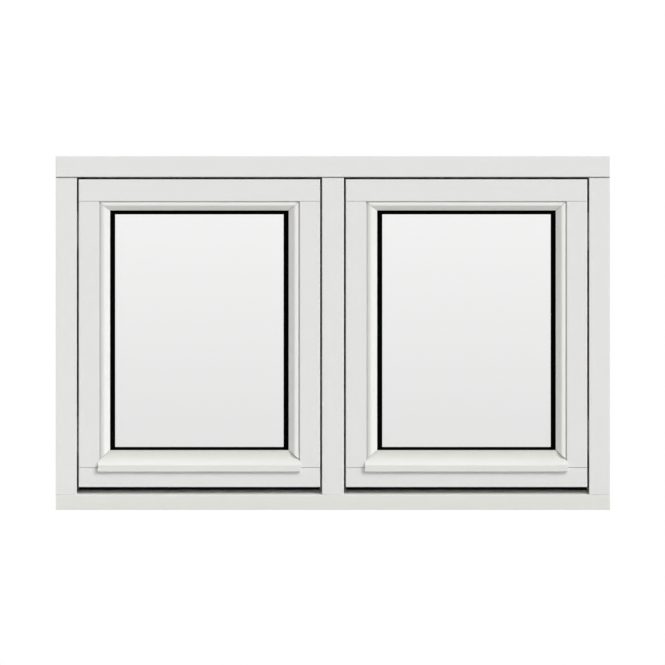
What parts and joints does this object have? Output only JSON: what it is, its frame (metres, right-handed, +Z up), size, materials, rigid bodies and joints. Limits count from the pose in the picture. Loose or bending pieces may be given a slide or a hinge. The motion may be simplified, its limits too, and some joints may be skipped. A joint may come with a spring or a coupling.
{
  "type": "double casement window",
  "caption": "White painted timber double casement window: side-hung sashes flush in a frame with a mullion and sloping sill, double glazed, moulded beads, drip bars",
  "frame": {"origin": "middle of the sill's underside, halfway through the frame's depth", "axes": "+X along the window's width, to the right as seen from outside; +Y from the weather side to the room side; +Z up"},
  "size_m": [1.188, 0.1235, 0.758],
  "materials": {
    "painted_timber": "satin",
    "clear_glass": "polished",
    "black_rubber": "matte",
    "spacer_bar": "satin",
    "packer_plastic": "matte",
    "hinge_steel": "satin",
    "satin_steel": "satin"
  },
  "bodies": {
    "root": {"frame_head": "painted_timber", "frame_sill": "painted_timber", "frame_left_jamb": "painted_timber", "frame_right_jamb": "painted_timber", "frame_mullion": "painted_timber", "left_sash_top_rail": "painted_timber", "left_sash_bottom_rail": "painted_timber", "left_sash_outer_stile": "painted_timber", "left_sash_inner_stile": "painted_timber", "left_top_bead": "painted_timber", "left_outer_bead": "painted_timber", "left_inner_bead": "painted_timber", "left_drip_bead": "painted_timber", "left_outer_pane": "clear_glass", "left_inner_pane": "clear_glass", "left_spacer": "spacer_bar", "left_outer_gasket": "black_rubber", "left_inner_gasket": "black_rubber", "left_setting_blocks": "packer_plastic", "left_weather_seal": "black_rubber", "left_hinges": "hinge_steel", "left_handle_plate": "satin_steel", "left_handle_neck": "satin_steel", "left_handle_grip": "satin_steel", "right_sash_top_rail": "painted_timber", "right_sash_bottom_rail": "painted_timber", "right_sash_outer_stile": "painted_timber", "right_sash_inner_stile": "painted_timber", "right_top_bead": "painted_timber", "right_outer_bead": "painted_timber", "right_inner_bead": "painted_timber", "right_drip_bead": "painted_timber", "right_outer_pane": "clear_glass", "right_inner_pane": "clear_glass", "right_spacer": "spacer_bar", "right_outer_gasket": "black_rubber", "right_inner_gasket": "black_rubber", "right_setting_blocks": "packer_plastic", "right_weather_seal": "black_rubber", "right_hinges": "hinge_steel", "right_handle_plate": "satin_steel", "right_handle_neck": "satin_steel", "right_handle_grip": "satin_steel"}
  },
  "joints": []
}
